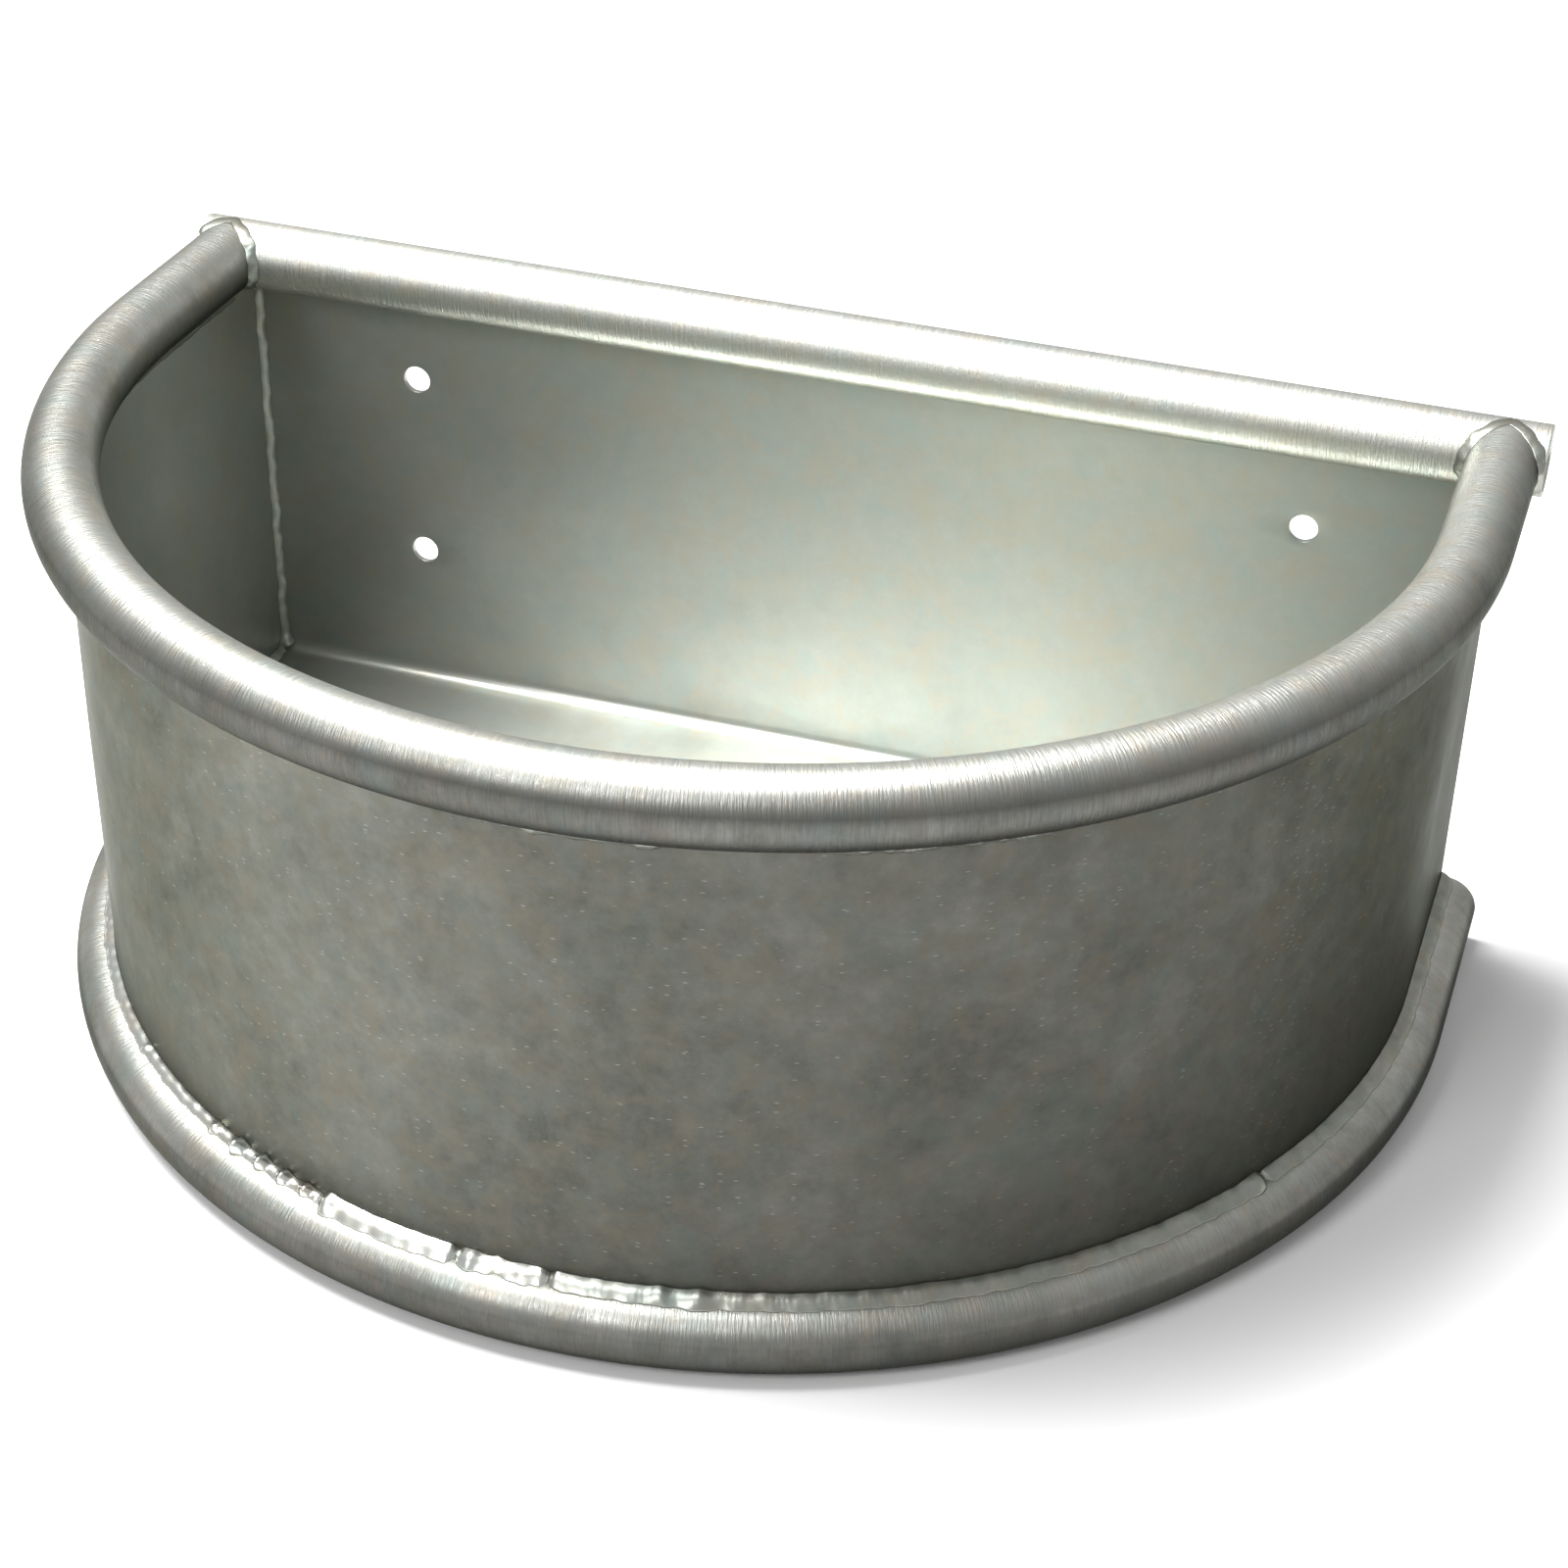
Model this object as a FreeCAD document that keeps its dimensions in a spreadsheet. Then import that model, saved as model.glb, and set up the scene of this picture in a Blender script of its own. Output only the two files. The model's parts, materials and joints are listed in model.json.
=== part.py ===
# Wall-hung livestock trough, D-shaped in plan, welded from steel tube and sheet and hot-dip galvanised.
#
# A rolled front wall stands between two rings of bent tube. One sheet, folded along its lower edge,
# makes the back panel and the floor. A straight rail of the same tube closes the top of the back.
#
# Frame: +X along the rail, -Y towards the animal, +Z up. The origin is under the middle of the
# bounding box, on the plane that the base ring rests on. Lengths are millimetres, angles degrees.

import FreeCAD, Part
import math
import os
import Sketcher
from FreeCAD import Placement, Rotation, Vector

DRIVING_DIMENSIONS = {
    "tube_dia": 33.7,         # nominal one-inch steel tube, used for the rail and for both rings
    "tube_wall": 2.6,
    "gauge": 3.0,             # sheet thickness of the wall, back panel and floor
    "half_width": 320.0,      # radius of the bend, and half the distance between the straight legs
    "leg": 95.0,              # straight leg, from the rail's centreline to the start of the bend
    "ring_gap": 260.0,        # height from the base ring's centreline to the rim's
    "base_spread": 2.5,       # how much further out the base ring runs than the rim
    "rail_past_right": 2.5,   # how far the rail's right end stands out past the rim
    "rail_short_left": 2.5,   # how far its left end stops short of the rim's outer side
    "cope_gap": 0.2,          # root gap between the coped rim ends and the rail
    "fold_radius": 8.0,       # inside radius of the fold between the back panel and the floor
    "floor_rise": 24.0,       # floor surface above the base ring's centreline
    "hole_dia": 14.0,         # clearance for M12 wall bolts
    "hole_pitch_x": 460.0,
    "hole_pitch_z": 98.0,
    "hole_drop": 62.0,        # upper holes below the rail's centreline
    "seam_leg": 4.0,          # leg length of the inside fillet welds
    "rim_weld_drop": 5.0,     # rim weld, down the wall from the tube
    "rim_weld_reach": 7.0,    # rim weld, out along the tube
    "base_weld_rise": 4.5,    # base weld, up the wall from the tube
    "base_weld_reach": 8.0,   # base weld, out along the tube
    "rail_weld_drop": 7.0,    # rail weld, down the back panel from the tube
    "rail_weld_reach": 5.5,   # rail weld, forwards along the tube
    "collar_height": 1.5,     # height of the weld round each joint of rim and rail
    "collar_lap": 2.5,        # how far that weld laps past the rail's centreline
    "collar_root": 0.1,       # root gap between that weld and the rim leg
}

# Where the welder stopped and started again, as angles round the bend from the right-hand leg.
BASE_WELD_STOPS = [0.0, 29.0, 88.0, 95.5, 108.0, 180.0]
RIM_STITCHES = [(52.0, 68.0), (79.0, 93.0)]

# Expressions of the driving dimensions that several pieces share. Every piece that follows the
# bend is drawn about the bend's centre, with x and y measured from there and z from the ground.
TUBE_RADIUS = "dims.tube_dia / 2"
BORE_DIA = "dims.tube_dia - 2 * dims.tube_wall"
BASE_HEIGHT = "dims.tube_dia / 2"
RIM_HEIGHT = "(dims.tube_dia / 2 + dims.ring_gap)"
BEND_Y = "(dims.half_width + dims.base_spread - dims.leg) / 2"
RAIL_Y = "(dims.half_width + dims.base_spread + dims.leg) / 2"
BASE_RADIUS = "(dims.half_width + dims.base_spread)"
INSIDE_RADIUS = "(dims.half_width - dims.gauge)"
RAIL_LEFT = "(dims.half_width + dims.tube_dia / 2 - dims.rail_short_left)"
RAIL_RIGHT = "(dims.half_width + dims.tube_dia / 2 + dims.rail_past_right)"
BACK_FACE = "(dims.leg + dims.tube_dia / 2)"
PANEL_FACE = "(dims.leg + dims.tube_dia / 2 - dims.gauge)"
FLOOR_TOP = "(dims.tube_dia / 2 + dims.floor_rise)"
WALL_BOTTOM = "(dims.tube_dia / 2 + sqrt((dims.tube_dia / 2)^2 - dims.base_spread^2))"
RIM_UNDERSIDE = "dims.ring_gap"
PANEL_TOP = f"({RIM_HEIGHT} - sqrt((dims.tube_dia / 2)^2 - (dims.tube_dia / 2 - dims.gauge)^2))"

doc = FreeCAD.newDocument("wall_trough")
dims = doc.addObject("Spreadsheet::Sheet", "dims")
for row, (alias, size) in enumerate(DRIVING_DIMENSIONS.items(), start=1):
    dims.set(f"A{row}", alias)
    dims.set(f"B{row}", str(size))
    dims.setAlias(f"B{row}", alias)
doc.recompute()

nodes = []


def value(expression):
    """The present value of an expression of the driving dimensions."""
    return float(dims.evalExpression(expression))


def new_body(label, y="0", z="0", turn=0.0):
    """A body at the given distance behind and above the origin, turned about its own Z axis."""
    body = doc.addObject("PartDesign::Body", label)
    body.Label = label
    body.Placement = Placement(Vector(0, 0, 0), Rotation(Vector(0, 0, 1), turn))
    body.setExpression("Placement.Base.y", y)
    body.setExpression("Placement.Base.z", z)
    nodes.append(body)
    return body


def new_sketch(body, plane, name, lift=None):
    """A sketch on one of the body's own origin planes, lifted along its normal by an expression."""
    sketch = body.newObject("Sketcher::SketchObject", f"{body.Name}_{name}")
    origin_plane = next(item for item in body.Origin.OriginFeatures if item.Role == plane)
    sketch.AttachmentSupport = [(origin_plane, "")]
    sketch.MapMode = "FlatFace"
    if lift is not None:
        sketch.setExpression("AttachmentOffset.Base.z", lift)
    return sketch


def hold(sketch, kind, *where, expression):
    """A dimension constraint whose value is an expression of the driving dimensions."""
    index = sketch.addConstraint(Sketcher.Constraint(kind, *where, value(expression)))
    sketch.setExpression(f"Constraints[{index}]", expression)


def hold_point(sketch, edge, end, x=None, y=None):
    """Hold one point of an edge at distances from the sketch's origin."""
    if x is not None:
        hold(sketch, "DistanceX", -1, 1, edge, end, expression=x)
    if y is not None:
        hold(sketch, "DistanceY", -1, 1, edge, end, expression=y)


def add_circle(sketch, x, y, diameter):
    """A circle with its centre and diameter given as expressions."""
    centre = Vector(value(x), value(y), 0)
    edge = sketch.addGeometry(Part.Circle(centre, Vector(0, 0, 1), value(diameter) / 2), False)
    hold_point(sketch, edge, 3, x, y)
    hold(sketch, "Diameter", edge, expression=diameter)


def add_outline(sketch, corners):
    """A closed outline through corners given as pairs of expressions.

    A corner that also names a centre and a direction starts an arc about that centre, "left"
    (counterclockwise) or "right". Every other corner starts a straight edge.
    """
    points = [Vector(value(corner[0]), value(corner[1]), 0) for corner in corners]
    ends = []
    for corner, start, end in zip(corners, points, points[1:] + points[:1]):
        if len(corner) == 2:
            edge = sketch.addGeometry(Part.LineSegment(start, end), False)
            ends.append((edge, 1, 2))
            continue
        centre_x, centre_y, direction = corner[2:]
        centre = Vector(value(centre_x), value(centre_y), 0)
        first, last = (start, end) if direction == "left" else (end, start)
        angles = [math.atan2(point.y - centre.y, point.x - centre.x) for point in (first, last)]
        circle = Part.Circle(centre, Vector(0, 0, 1), (start - centre).Length)
        edge = sketch.addGeometry(Part.ArcOfCircle(circle, *angles), False)
        ends.append((edge, 1, 2) if direction == "left" else (edge, 2, 1))
        # Both ends are held, so one coordinate of the centre settles the arc.
        if abs(start.y - end.y) < 1e-6:
            hold_point(sketch, edge, 3, y=centre_y)
        else:
            hold_point(sketch, edge, 3, x=centre_x)
    for corner, (edge, start, _), (previous, _, previous_end) in zip(corners, ends, ends[-1:] + ends[:-1]):
        sketch.addConstraint(Sketcher.Constraint("Coincident", previous, previous_end, edge, start))
        hold_point(sketch, edge, start, *corner[:2])


def feature(body, kind, name, sketch, **settings):
    """A PartDesign feature of a sketch. Settings given as text are bound as expressions."""
    made = body.newObject(f"PartDesign::{kind}", f"{body.Name}_{name}")
    made.Profile = sketch
    for setting, wanted in settings.items():
        if isinstance(wanted, str):
            made.setExpression(setting, wanted)
        else:
            setattr(made, setting, wanted)
    return made


def revolve(body, name, sketch, angle, clockwise):
    """Turn a sketch on the XZ plane about the body's Z axis, clockwise as seen from above or not."""
    turned = feature(body, "Revolution", name, sketch, Angle=angle, Reversed=clockwise)
    turned.ReferenceAxis = (sketch, ["V_Axis"])
    return turned


def mirror_across(body, name, *features):
    """Repeat features on the other side of the body's YZ plane."""
    mirrored = body.newObject("PartDesign::Mirrored", f"{body.Name}_{name}")
    mirrored.Originals = list(features)
    side_plane = next(item for item in body.Origin.OriginFeatures if item.Role == "YZ_Plane")
    mirrored.MirrorPlane = (side_plane, [""])
    body.Tip = mirrored
    return mirrored


# Tubes -------------------------------------------------------------------------------------------


def add_tube_section(sketch, x, y):
    """The ring-shaped cross-section of the tube."""
    add_circle(sketch, x, y, "dims.tube_dia")
    add_circle(sketch, x, y, BORE_DIA)


def make_rail():
    """The straight tube across the top of the back, its ends cut square and left open."""
    body = new_body("top_rail", y=RAIL_Y, z=RIM_HEIGHT)
    section = new_sketch(body, "YZ_Plane", "section", lift=f"-{RAIL_LEFT}")
    add_tube_section(section, "0", "0")
    feature(body, "Pad", "length", section, Length=f"{RAIL_LEFT} + {RAIL_RIGHT}")


def make_ring(label, radius, height, leg_length):
    """A tube bent to half a circle with a straight leg at each end, open at its ends."""
    body = new_body(label, y=BEND_Y)
    section = new_sketch(body, "XZ_Plane", "section")
    add_tube_section(section, radius, height)
    revolve(body, "bend", section, 180.0, clockwise=True)
    leg_section = new_sketch(body, "XZ_Plane", "leg_section")
    add_tube_section(leg_section, radius, height)
    leg = feature(body, "Pad", "leg", leg_section, Length=leg_length, Reversed=True)
    mirror_across(body, "other_leg", leg)
    return body


def make_rim():
    """The top ring. Its legs are coped to the round of the rail and butt on it."""
    body = make_ring("rim_tube", "dims.half_width", RIM_HEIGHT, "dims.leg")
    cope = new_sketch(body, "YZ_Plane", "cope")
    add_circle(cope, "dims.leg", RIM_HEIGHT, "dims.tube_dia + 2 * dims.cope_gap")
    body.Tip = feature(body, "Pocket", "cope_cut", cope, Type=1, Midplane=True)


# Sheets ------------------------------------------------------------------------------------------


def make_front_wall():
    """The rolled sheet between the two rings. Its rear top corners follow the round of the rail."""
    body = new_body("front_wall", y=BEND_Y)
    section = new_sketch(body, "XZ_Plane", "section")
    outline = [
        (INSIDE_RADIUS, WALL_BOTTOM),
        ("dims.half_width", WALL_BOTTOM),
        ("dims.half_width", RIM_UNDERSIDE),
        (INSIDE_RADIUS, RIM_UNDERSIDE),
    ]
    add_outline(section, outline)
    revolve(body, "bend", section, 180.0, clockwise=True)
    leg_section = new_sketch(body, "XZ_Plane", "leg_section")
    add_outline(leg_section, outline)
    leg = feature(body, "Pad", "leg", leg_section, Length=BACK_FACE, Reversed=True)
    ear_start = "(dims.leg + dims.gauge)"
    ear_section = new_sketch(body, "XY_Plane", "ear_section", lift=RIM_UNDERSIDE)
    add_outline(ear_section, [
        (INSIDE_RADIUS, ear_start),
        ("dims.half_width", ear_start),
        ("dims.half_width", BACK_FACE),
        (INSIDE_RADIUS, BACK_FACE),
    ])
    ear = feature(body, "Pad", "ear", ear_section, Length=f"{PANEL_TOP} - {RIM_UNDERSIDE}")
    mirror_across(body, "other_side", leg, ear)
    rail_round = new_sketch(body, "YZ_Plane", "rail_round")
    add_circle(rail_round, "dims.leg", RIM_HEIGHT, "dims.tube_dia")
    body.Tip = feature(body, "Pocket", "rail_cut", rail_round, Type=1, Midplane=True)


def make_back_and_floor():
    """One sheet: the back panel with its four bolt holes, the fold, and the D-shaped floor."""
    body = new_body("back_and_floor_sheet", y=BEND_Y)
    profile = new_sketch(body, "YZ_Plane", "profile")
    fold_y = f"({PANEL_FACE} - dims.fold_radius)"
    fold_z = f"({FLOOR_TOP} + dims.fold_radius)"
    underside = f"({FLOOR_TOP} - dims.gauge)"
    add_outline(profile, [
        (BACK_FACE, PANEL_TOP),
        (PANEL_FACE, PANEL_TOP),
        (PANEL_FACE, fold_z, fold_y, fold_z, "right"),
        (fold_y, FLOOR_TOP),
        ("0", FLOOR_TOP),
        ("0", underside),
        (fold_y, underside, fold_y, fold_z, "left"),
        (BACK_FACE, fold_z),
    ])
    feature(body, "Pad", "folded", profile, Length=f"2 * {INSIDE_RADIUS}", Midplane=True)

    half_disc = new_sketch(body, "XY_Plane", "half_disc", lift=underside)
    add_outline(half_disc, [(f"-{INSIDE_RADIUS}", "0", "0", "0", "left"), (INSIDE_RADIUS, "0")])
    feature(body, "Pad", "floor_front", half_disc, Length="dims.gauge")

    holes = new_sketch(body, "XZ_Plane", "holes")
    for side in ("-", ""):
        for row in ("0", "dims.hole_pitch_z"):
            x = f"{side}(dims.hole_pitch_x / 2)"
            z = f"{RIM_HEIGHT} - dims.hole_drop - {row}"
            add_circle(holes, x, z, "dims.hole_dia")
    body.Tip = feature(body, "Pocket", "hole_cut", holes, Type=1, Midplane=True)


# Welds -------------------------------------------------------------------------------------------


def add_tube_bead(sketch, plate, tube_x, tube_z, side, upwards, reach, spread):
    """Cross-section of a weld in the groove between an upright plate face and a round tube.

    The plate's face is at x = plate. The bead lies on the tube's upper or lower half, reaches
    along the tube to one side of the plate and spreads up or down the plate from the tube.
    """
    up = "+" if upwards else "-"
    toe = f"({plate} + {side} * {reach})"

    def on_tube(x):
        return f"({tube_z} {up} sqrt(({TUBE_RADIUS})^2 - ({x} - {tube_x})^2))"

    direction = "left" if (side > 0) == upwards else "right"
    add_outline(sketch, [
        (plate, on_tube(plate)),
        (plate, f"{on_tube(plate)} {up} {spread}"),
        (toe, on_tube(toe), tube_x, tube_z, direction),
    ])


def make_bend_weld(label, add_section, leg_length, start=0.0, end=180.0):
    """A weld that follows the wall from one angle of the bend to another.

    Angles run from the right-hand leg round the front to the left-hand one. A weld that starts at
    0 or ends at 180 degrees also runs along that leg, as far as the leg length given.
    """
    at_left_leg = end == 180.0 and start > 0.0
    body = new_body(label, y=BEND_Y, turn=180.0 if at_left_leg else -start)
    section = new_sketch(body, "XZ_Plane", "section")
    add_section(section)
    revolve(body, "bend", section, end - start, clockwise=not at_left_leg)
    if start == 0.0 or at_left_leg:
        leg_section = new_sketch(body, "XZ_Plane", "leg_section")
        add_section(leg_section)
        leg = feature(body, "Pad", "leg", leg_section, Length=leg_length, Reversed=not at_left_leg)
        if start == 0.0 and end == 180.0:
            mirror_across(body, "other_leg", leg)
    return body


def base_weld_section(sketch):
    """Outside the wall, on the crown of the base ring."""
    add_tube_bead(
        sketch, "dims.half_width", BASE_RADIUS, BASE_HEIGHT, side=1, upwards=True,
        reach="dims.base_weld_reach", spread="dims.base_weld_rise",
    )


def rim_stitch_section(sketch):
    """Outside the wall, under the rim."""
    add_tube_bead(
        sketch, "dims.half_width", "dims.half_width", RIM_HEIGHT, side=1, upwards=False,
        reach="dims.rim_weld_reach", spread="dims.rim_weld_drop",
    )


def rim_inside_section(sketch):
    """Inside the wall, under the rim."""
    add_tube_bead(
        sketch, INSIDE_RADIUS, "dims.half_width", RIM_HEIGHT, side=-1, upwards=False,
        reach="dims.rim_weld_reach", spread="dims.rim_weld_drop",
    )


def floor_seam_section(sketch):
    """The inside corner between the floor and the wall."""
    add_outline(sketch, [
        (INSIDE_RADIUS, FLOOR_TOP),
        (INSIDE_RADIUS, f"{FLOOR_TOP} + dims.seam_leg"),
        (f"{INSIDE_RADIUS} - dims.seam_leg", FLOOR_TOP),
    ])


def make_corner_weld(label, hand):
    """The upright weld between the back panel and one side of the wall, above the fold."""
    body = new_body(label, y=BEND_Y)
    fold_top = f"({FLOOR_TOP} + dims.fold_radius)"
    section = new_sketch(body, "XY_Plane", "section", lift=fold_top)
    add_outline(section, [
        (f"{hand} * {INSIDE_RADIUS}", PANEL_FACE),
        (f"{hand} * ({INSIDE_RADIUS} - dims.seam_leg)", PANEL_FACE),
        (f"{hand} * {INSIDE_RADIUS}", f"{PANEL_FACE} - dims.seam_leg"),
    ])
    height = f"{PANEL_TOP} - dims.rail_weld_drop - {fold_top}"
    feature(body, "Pad", "height", section, Length=height)


def make_rail_weld():
    """The weld along the top of the back panel, in the groove under the rail."""
    body = new_body("rail_to_panel_weld", y=BEND_Y)
    section = new_sketch(body, "YZ_Plane", "section")
    add_tube_bead(
        section, PANEL_FACE, "dims.leg", RIM_HEIGHT, side=-1, upwards=False,
        reach="dims.rail_weld_reach", spread="dims.rail_weld_drop",
    )
    feature(body, "Pad", "length", section, Length=f"2 * {INSIDE_RADIUS}", Midplane=True)


def add_cylinder(name, radius, height, place):
    """A solid cylinder along the Z axis of its placement."""
    cylinder = doc.addObject("Part::Cylinder", name)
    cylinder.setExpression("Radius", radius)
    cylinder.setExpression("Height", height)
    cylinder.Placement = place
    return cylinder


def boolean(kind, name, base, tool):
    """One solid combined with another."""
    combined = doc.addObject(f"Part::{kind}", name)
    combined.Base = base
    combined.Tool = tool
    return combined


def make_joint_weld(label, hand):
    """The saddle-shaped weld round the joint of one rim leg and the rail.

    It is what a thin sleeve round the rail and a thin sleeve round the leg have in common, less
    the edge of the wall that stands under the joint. The rail's left end stops short of the leg's
    outer side, so the left weld stops there too and its lower outer quarter is left out.
    """
    height = value(RIM_HEIGHT)
    side = hand * value("dims.half_width")
    reach = value("dims.tube_dia")
    rail_start = Vector(max(side - reach, -value(RAIL_LEFT)), value(RAIL_Y), height)
    leg_start = Vector(side, value(f"{RAIL_Y} + dims.collar_lap"), height)
    along_rail = Placement(rail_start, Rotation(Vector(0, 0, 1), Vector(1, 0, 0)))
    along_leg = Placement(leg_start, Rotation(Vector(0, 0, 1), Vector(0, -1, 0)))
    bead_radius = "dims.tube_dia / 2 + dims.collar_height"
    leg_radius = f"{TUBE_RADIUS} + dims.collar_root"
    sleeves = []
    for name, inner_radius, place in (("rail", TUBE_RADIUS, along_rail), ("leg", leg_radius, along_leg)):
        outer = add_cylinder(f"{label}_{name}_outer", bead_radius, "2 * dims.tube_dia", place)
        inner = add_cylinder(f"{label}_{name}_inner", inner_radius, "2 * dims.tube_dia", place)
        sleeves.append(boolean("Cut", f"{label}_{name}_sleeve", outer, inner))
    saddle = boolean("Common", f"{label}_saddle", *sleeves)
    left_out = doc.addObject("Part::Box", f"{label}_left_out")
    left_out.setExpression("Length", "dims.gauge" if hand > 0 else "dims.gauge + dims.tube_dia")
    left_out.setExpression("Width", "2 * dims.tube_dia")
    left_out.setExpression("Height", "dims.tube_dia")
    box_x = value(INSIDE_RADIUS) if hand > 0 else -value("dims.half_width + dims.tube_dia")
    box_y = value(f"{RAIL_Y} + dims.collar_lap - 2 * dims.tube_dia")
    box_top = value(RIM_UNDERSIDE) if hand > 0 else height
    left_out.Placement.Base = Vector(box_x, box_y, box_top - value("dims.tube_dia"))
    weld = boolean("Cut", label, saddle, left_out)
    weld.Label = label
    nodes.append(weld)


make_back_and_floor()
make_front_wall()
make_rail()
make_rim()
make_ring("base_tube", BASE_RADIUS, BASE_HEIGHT, BACK_FACE)

make_rail_weld()
make_bend_weld("floor_to_wall_weld", floor_seam_section, f"{PANEL_FACE} - dims.fold_radius")
make_bend_weld("rim_to_wall_inside_weld", rim_inside_section, "dims.leg - dims.tube_dia / 2")
for number, (start, end) in enumerate(RIM_STITCHES, start=1):
    make_bend_weld(f"rim_to_wall_stitch_{number}", rim_stitch_section, "0", start, end)
for number, (start, end) in enumerate(zip(BASE_WELD_STOPS, BASE_WELD_STOPS[1:]), start=1):
    make_bend_weld(f"base_to_wall_weld_{number}", base_weld_section, BACK_FACE, start, end)
for side_name, hand in (("left", -1), ("right", 1)):
    make_corner_weld(f"back_corner_weld_{side_name}", hand)
    make_joint_weld(f"rim_to_rail_weld_{side_name}", hand)

doc.recompute()

# Checks and export -------------------------------------------------------------------------------

for item in doc.Objects:
    if "Invalid" in item.State or "Error" in item.State:
        raise RuntimeError(f"{item.Name} failed: {item.State}")
for node in nodes:
    if node.Shape.isNull() or not node.Shape.isValid() or len(node.Shape.Solids) != 1:
        raise RuntimeError(f"{node.Label} is not one valid solid")

os.makedirs("parts", exist_ok=True)
for node in nodes:
    node.Shape.exportStep(f"parts/{node.Label}.step")
    print(f"{node.Label}: {node.Shape.Volume / 1000:.2f} cm3")
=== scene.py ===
import json
import math
import bpy
import numpy as np
from mathutils import Matrix, Vector


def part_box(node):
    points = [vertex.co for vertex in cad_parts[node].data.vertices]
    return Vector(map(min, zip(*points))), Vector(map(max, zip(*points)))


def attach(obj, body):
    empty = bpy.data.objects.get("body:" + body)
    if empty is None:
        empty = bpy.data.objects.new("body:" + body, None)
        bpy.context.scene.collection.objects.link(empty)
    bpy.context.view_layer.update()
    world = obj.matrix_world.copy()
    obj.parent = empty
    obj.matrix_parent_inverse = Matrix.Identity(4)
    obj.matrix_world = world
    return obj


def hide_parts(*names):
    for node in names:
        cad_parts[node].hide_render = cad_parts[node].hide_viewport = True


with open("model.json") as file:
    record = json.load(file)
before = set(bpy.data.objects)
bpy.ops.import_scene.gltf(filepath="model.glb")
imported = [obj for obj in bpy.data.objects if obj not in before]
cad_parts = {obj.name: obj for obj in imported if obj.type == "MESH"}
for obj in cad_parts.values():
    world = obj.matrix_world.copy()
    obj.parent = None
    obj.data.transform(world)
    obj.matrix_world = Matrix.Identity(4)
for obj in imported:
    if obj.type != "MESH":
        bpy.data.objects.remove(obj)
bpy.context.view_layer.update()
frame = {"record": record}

# --- The rail ------------------------------------------------------------------------------------
# A straight piece of one-inch steel tube across the top of the back, cut square and left open at
# both ends so that the zinc can run out. Like every piece here it was dipped in molten zinc after
# welding, which leaves a satin grey-green skin, cloudy in patches, with small bright specks. How
# light the zinc of each piece is was tuned by trial for the camera's view, so part of each grey is
# painted light and shade, which isn't a property of the real zinc.

rail_low, rail_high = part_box("top_rail")
tube_radius = (rail_high.z - rail_low.z) / 2
tube_wall = 0.0026
tube_bore = tube_radius - tube_wall
rail_y = (rail_low.y + rail_high.y) / 2
rail_z = (rail_low.z + rail_high.z) / 2


def add_mesh(name, points, faces, sharp=None):
    """A new object whose mesh has these points and these four-cornered faces.

    The faces are turned over if the volume that they enclose comes out negative. Edges that turn
    by more than the sharp angle, in degrees, are shaded as corners.
    """
    points = np.asarray(points, dtype=float).reshape(-1, 3)
    a, b, c, d = np.moveaxis(points[faces] - points[0], 1, 0)
    volume = np.sum(a * np.cross(b, c)) + np.sum(a * np.cross(c, d))
    if volume < 0:
        faces = faces[:, ::-1]
    mesh = bpy.data.meshes.new(name)
    mesh.vertices.add(len(points))
    mesh.vertices.foreach_set("co", points.astype(np.float32).ravel())
    mesh.loops.add(faces.size)
    mesh.loops.foreach_set("vertex_index", faces.astype(np.int32).ravel())
    mesh.polygons.add(len(faces))
    mesh.polygons.foreach_set("loop_start", np.arange(0, faces.size, 4, dtype=np.int32))
    mesh.update(calc_edges=True)
    mesh.polygons.foreach_set("use_smooth", np.ones(len(faces), dtype=bool))
    if sharp is not None:
        mesh.set_sharp_from_angle(angle=math.radians(sharp))
    piece = bpy.data.objects.new(name, mesh)
    bpy.context.scene.collection.objects.link(piece)
    return piece


def grid_faces(rows, columns, wrap_rows=False, wrap_columns=False):
    """Faces of a grid of rows x columns points: (i, j), (i+1, j), (i+1, j+1), (i, j+1)."""
    i = np.arange(rows if wrap_rows else rows - 1)[:, None]
    j = np.arange(columns if wrap_columns else columns - 1)[None, :]
    below, beside = (i + 1) % rows, (j + 1) % columns
    corners = np.broadcast_arrays(
        i * columns + j, below * columns + j, below * columns + beside, i * columns + beside
    )
    return np.stack(corners, axis=-1).reshape(-1, 4)


def add_uv(piece, across, along, lap):
    """A UV map in metres from one value of each coordinate per vertex.

    Where a face closes the lap round the tube, its far corners get the value one lap further on.
    """
    mesh = piece.data
    corner = np.empty(len(mesh.loops), dtype=np.int32)
    mesh.loops.foreach_get("vertex_index", corner)
    layer = mesh.uv_layers.new(name="surface")
    across = np.ravel(across)[corner].reshape(-1, 4)
    past_lap = across.max(axis=1, keepdims=True) - across > lap / 2
    both = np.stack([(across + lap * past_lap).ravel(), np.ravel(along)[corner]], axis=-1)
    layer.data.foreach_set("uv", both.astype(np.float32).ravel())


def plate_profile(start, end, outer, inner, step):
    """Offset and distance for one lap round a plate or a tube's wall.

    The lap runs along the outer face, over the edge at the end, back along the inner face and over
    the edge at the start. Each corner is a quarter circle, as zinc leaves it.
    """
    edge = 0.0006
    turn = np.linspace(0, np.pi / 2, 5)
    near, far = edge * (1 - np.cos(turn)), edge * (1 - np.sin(turn))
    face = np.linspace(start + edge, end - edge, max(4, round((end - start) / step)))[1:-1]
    offset = np.concatenate([
        np.full(face.size, outer), outer - near, inner + far,
        np.full(face.size, inner), inner + near, outer - far,
    ])
    length = np.concatenate([face, end - far, end - near, face[::-1], start + far, start + near])
    return offset, length


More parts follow.
